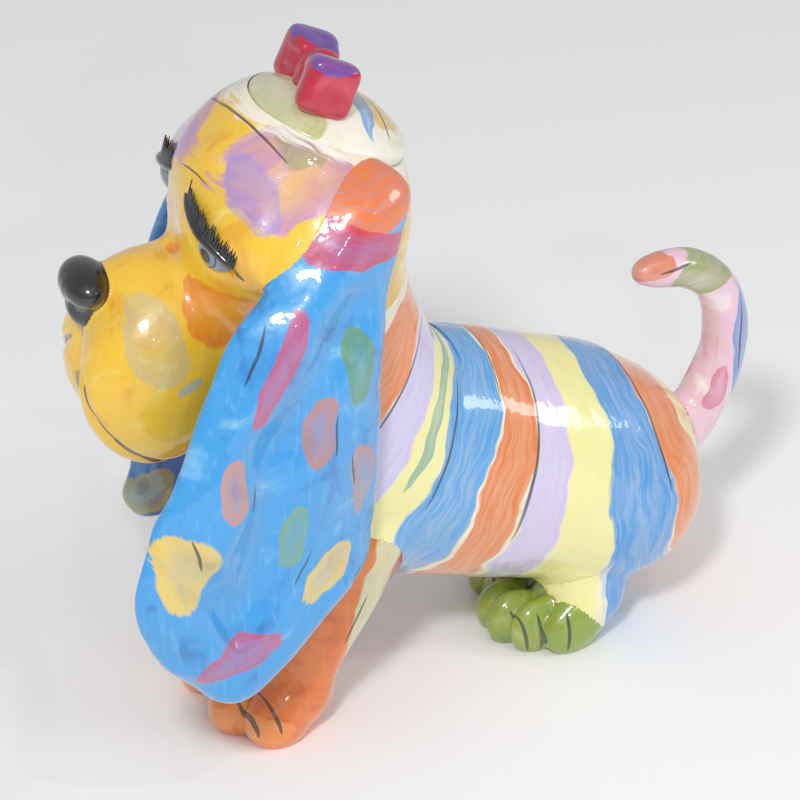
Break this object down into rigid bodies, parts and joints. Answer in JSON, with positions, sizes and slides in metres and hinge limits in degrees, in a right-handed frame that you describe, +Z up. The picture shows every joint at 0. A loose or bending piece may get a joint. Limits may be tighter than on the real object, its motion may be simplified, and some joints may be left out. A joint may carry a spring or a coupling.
{
  "type": "ceramic dog figurine",
  "caption": "Glazed ceramic dog with long hanging ears, made as a hollow jar whose domed lid in the back of the head lifts off by its bow.",
  "frame": {"origin": "centre of the footprint of the bounding box, on the plane of the soles", "axes": "+Z up, the dog looks along -X, its left side is -Y"},
  "size_m": [0.3018, 0.1348, 0.2744],
  "materials": {
    "body_glaze": "clear gloss glaze over brushed colour bands",
    "face_glaze": "clear gloss glaze over yellow brushwork",
    "ear_glaze": "clear gloss glaze over sky-blue brushwork",
    "black_glaze": "black gloss glaze",
    "eye_glaze": "clear gloss glaze over a blue-grey iris",
    "front_leg_glaze": "clear gloss glaze over orange brushwork",
    "rear_leg_glaze": "clear gloss glaze over olive brushwork",
    "tail_glaze": "clear gloss glaze over pink and blue brushwork",
    "lid_glaze": "clear gloss glaze over white with yellow strokes",
    "bow_glaze": "clear gloss glaze over crimson"
  },
  "bodies": {
    "jar": {"torso": "body_glaze", "head": "face_glaze", "left_ear": "ear_glaze", "right_ear": "ear_glaze", "nose": "black_glaze", "left_eye": "eye_glaze", "right_eye": "eye_glaze", "left_lash": "black_glaze", "right_lash": "black_glaze", "front_left_leg": "front_leg_glaze", "front_right_leg": "front_leg_glaze", "rear_left_leg": "rear_leg_glaze", "rear_right_leg": "rear_leg_glaze", "tail": "tail_glaze"},
    "lid": {"lid_plate": "lid_glaze", "lid_ring": "lid_glaze", "bow_left_loop": "bow_glaze", "bow_right_loop": "bow_glaze", "bow_knot": "bow_glaze"}
  },
  "joints": [
    {"name": "lid_lift", "type": "slide", "parent": "jar", "child": "lid", "axis": [0.3869, -0.0965, 0.9171], "range_m": [0, 0.06]}
  ]
}
